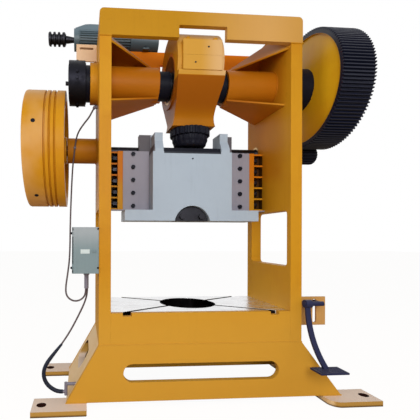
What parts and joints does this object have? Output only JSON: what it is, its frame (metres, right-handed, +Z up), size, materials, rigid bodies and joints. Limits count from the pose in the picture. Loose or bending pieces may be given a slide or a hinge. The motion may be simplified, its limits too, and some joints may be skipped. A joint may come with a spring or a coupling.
{
  "type": "mechanical stamping press",
  "caption": "Straight-sided eccentric stamping press with exposed gear drive, belt flywheel, guided ram, slotted bolster, motor, switch box and foot pedal.",
  "frame": {"origin": "centre of the four foundation bolt holes, on the floor", "axes": "+X to the right seen from the front (gear side), +Y to the back, +Z up"},
  "size_m": [2.479, 1.146, 2.831],
  "materials": {
    "frame_paint": "satin yellow-orange enamel",
    "crown_paint": "satin yellow-orange enamel",
    "flare_paint": "satin cream-yellow enamel",
    "gear_paint": "satin yellow enamel with bare tooth faces",
    "ram_paint": "satin blue-grey enamel",
    "gib_paint": "satin grey-mauve enamel",
    "black_paint": "satin navy-black enamel",
    "cream_paint": "satin cream enamel",
    "motor_paint": "satin blue-grey enamel",
    "box_paint": "satin grey-green enamel",
    "pedal_paint": "satin dark blue enamel",
    "machined_steel": "ground and machined",
    "dark_steel": "turned, lightly oiled",
    "bolt_steel": "plain steel fasteners",
    "band_steel": "rolled strip, dark",
    "bush_bronze": "bored bronze",
    "fitting_plastic": "moulded, matt",
    "cable_rubber": "black sheath"
  },
  "bodies": {
    "frame": {"side_plate_left": "frame_paint", "side_plate_right": "frame_paint", "crown_front_plate": "crown_paint", "crown_rear_plate": "frame_paint", "table_front_plate": "frame_paint", "table_rear_plate": "frame_paint", "table_ribs": "frame_paint", "base_front_plate": "frame_paint", "base_rear_plate": "frame_paint", "flare_plate_left": "flare_paint", "flare_plate_right": "flare_paint", "feet_left": "flare_paint", "feet_right": "flare_paint", "bolster_plate": "machined_steel", "crank_housing_left": "frame_paint", "crank_housing_right": "frame_paint", "crank_bushes": "bush_bronze", "shaft_bushes": "bush_bronze", "shaft_housing_left": "frame_paint", "shaft_housing_right": "frame_paint", "brake_band": "band_steel", "gib_bar_left": "frame_paint", "gib_bar_right": "frame_paint", "gib_left": "gib_paint", "gib_right": "gib_paint", "gib_bolts": "dark_steel", "gib_screws": "bolt_steel", "gib_ledges": "gib_paint", "motor": "motor_paint", "motor_bracket": "cream_paint", "box_body": "box_paint", "cable_fittings": "fitting_plastic", "upper_cable": "cable_rubber", "lower_cable": "cable_rubber", "pedal_bracket": "frame_paint", "pedal_pivot": "pedal_paint"},
    "bull_gear": {"bull_gear": "gear_paint", "clutch_ring": "black_paint"},
    "drive_shaft": {"drive_shaft": "dark_steel", "pinion": "dark_steel", "flywheel": "frame_paint", "shaft_end_plate": "dark_steel"},
    "crankshaft": {"crankshaft": "dark_steel", "crank_collars": "black_paint", "crank_end_plate": "black_paint", "brake_drum": "black_paint"},
    "conrod": {"conrod": "frame_paint", "conrod_cap": "frame_paint", "cap_bolts": "dark_steel", "conrod_bush": "bush_bronze"},
    "screw": {"adjusting_screw": "dark_steel", "ratchet_ring": "black_paint"},
    "ram": {"ram": "ram_paint", "ball_retainer": "black_paint", "shank_clamp": "dark_steel", "clamp_bolts": "dark_steel"},
    "motor_rotor": {"motor_pulley": "dark_steel"},
    "pedal": {"pedal_lever": "pedal_paint"},
    "door": {"box_door": "box_paint", "box_lock": "bolt_steel"}
  },
  "joints": [
    {"name": "bull_gear_spin", "type": "hinge", "parent": "frame", "child": "bull_gear", "pos_m": [0.978, -0.0215, 2.263], "axis": [1, 0, 0], "continuous": true},
    {"name": "drive_shaft_spin", "type": "hinge", "parent": "frame", "child": "drive_shaft", "pos_m": [-0.035, 0.1935, 1.81713], "axis": [1, 0, 0], "continuous": true},
    {"name": "crank_turn", "type": "hinge", "parent": "frame", "child": "crankshaft", "pos_m": [-0.035, -0.0215, 2.263], "axis": [-1, 0, 0], "range_deg": [0, 180]},
    {"name": "conrod_swing", "type": "hinge", "parent": "crankshaft", "child": "conrod", "pos_m": [-0.035, -0.0215, 2.313], "axis": [-1, 0, 0], "range_deg": [-180, 0]},
    {"name": "screw_turn", "type": "hinge", "parent": "conrod", "child": "screw", "pos_m": [-0.035, -0.0215, 1.942], "axis": [0, 0, 1], "continuous": true},
    {"name": "ram_slide", "type": "slide", "parent": "frame", "child": "ram", "axis": [0, 0, -1], "range_m": [0, 0.1]},
    {"name": "motor_spin", "type": "hinge", "parent": "frame", "child": "motor_rotor", "pos_m": [-1.035, 0.2435, 2.733], "axis": [1, 0, 0], "continuous": true},
    {"name": "pedal_press", "type": "hinge", "parent": "frame", "child": "pedal", "pos_m": [0.693, -0.3405, 0.676], "axis": [1, 0, 0], "range_deg": [0, 5.5], "stiffness_Nm_per_rad": 40, "springref_deg": -40.11},
    {"name": "door_hinge", "type": "hinge", "parent": "frame", "child": "door", "pos_m": [-0.909, -0.3095, 1.04], "axis": [0, 0, -1], "range_deg": [0, 110]}
  ],
  "couplings": [
    {"joint": "drive_shaft_spin", "follows": "bull_gear_spin", "ratio": -6.3333},
    {"joint": "conrod_swing", "follows": "crank_turn", "ratio": -1},
    {"joint": "ram_slide", "follows": "crank_turn", "m_per_rad": 0.031831}
  ]
}
